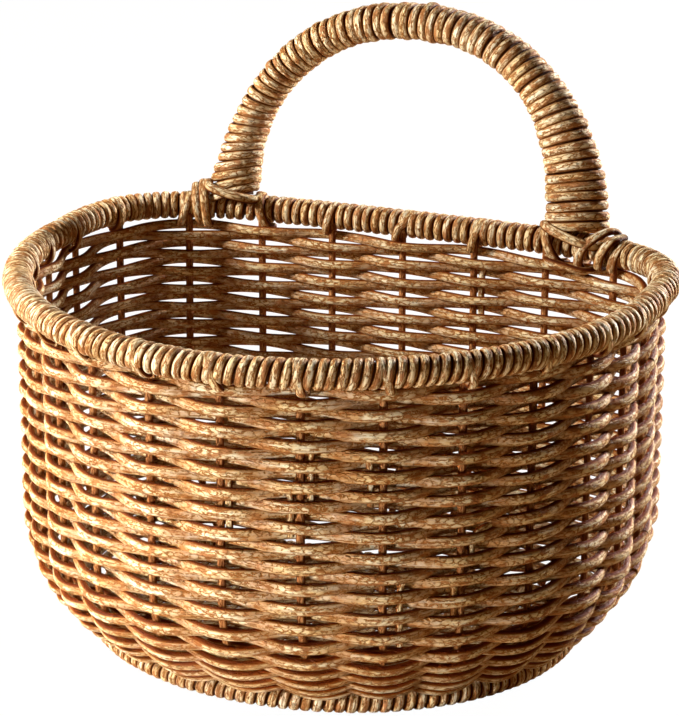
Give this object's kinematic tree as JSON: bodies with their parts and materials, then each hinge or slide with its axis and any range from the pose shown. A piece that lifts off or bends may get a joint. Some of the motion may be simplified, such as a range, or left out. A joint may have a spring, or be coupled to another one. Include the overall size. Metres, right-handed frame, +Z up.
{
  "type": "rattan storage basket",
  "caption": "Half-round open rattan storage basket with woven wall, cane-wrapped rim and foot, and one fixed arched handle on its long side.",
  "frame": {"origin": "on the floor, under the middle of the basket's bounding box", "axes": "+X to the basket's right as seen from the front, +Y towards its long back side with the handle, +Z up"},
  "size_m": [0.4, 0.3476, 0.3593],
  "materials": {
    "weaver_rattan": "semi-gloss lacquer",
    "stake_rattan": "semi-gloss lacquer",
    "wrap_cane": "gloss lacquer",
    "hoop_rattan": "satin"
  },
  "bodies": {
    "root": {"stake_01": "stake_rattan", "stake_02": "stake_rattan", "stake_03": "stake_rattan", "stake_04": "stake_rattan", "stake_05": "stake_rattan", "stake_06": "stake_rattan", "stake_07": "stake_rattan", "stake_08": "stake_rattan", "stake_09": "stake_rattan", "stake_10": "stake_rattan", "stake_11": "stake_rattan", "stake_12": "stake_rattan", "stake_13": "stake_rattan", "stake_14": "stake_rattan", "stake_15": "stake_rattan", "stake_16": "stake_rattan", "stake_17": "stake_rattan", "stake_18": "stake_rattan", "stake_19": "stake_rattan", "stake_20": "stake_rattan", "stake_21": "stake_rattan", "stake_22": "stake_rattan", "stake_23": "stake_rattan", "stake_24": "stake_rattan", "stake_25": "stake_rattan", "course_01": "weaver_rattan", "course_02": "weaver_rattan", "course_03": "weaver_rattan", "course_04": "weaver_rattan", "course_05": "weaver_rattan", "course_06": "weaver_rattan", "course_07": "weaver_rattan", "course_08": "weaver_rattan", "course_09": "weaver_rattan", "course_10": "weaver_rattan", "course_11": "weaver_rattan", "course_12": "weaver_rattan", "course_13": "weaver_rattan", "course_14": "weaver_rattan", "course_15": "weaver_rattan", "course_16": "weaver_rattan", "course_17": "weaver_rattan", "course_18": "weaver_rattan", "rim_wrap_front": "wrap_cane", "rim_wrap_back": "wrap_cane", "handle_wrap": "wrap_cane", "lashing_right": "wrap_cane", "lashing_left": "wrap_cane", "foot_wrap": "wrap_cane", "rim_hoop": "hoop_rattan", "handle_core": "hoop_rattan", "foot_hoop": "hoop_rattan", "floor_mat": "weaver_rattan", "floor_rod_01": "stake_rattan", "floor_rod_02": "stake_rattan", "floor_rod_03": "stake_rattan", "floor_rod_04": "stake_rattan", "floor_rod_05": "stake_rattan"}
  },
  "joints": []
}
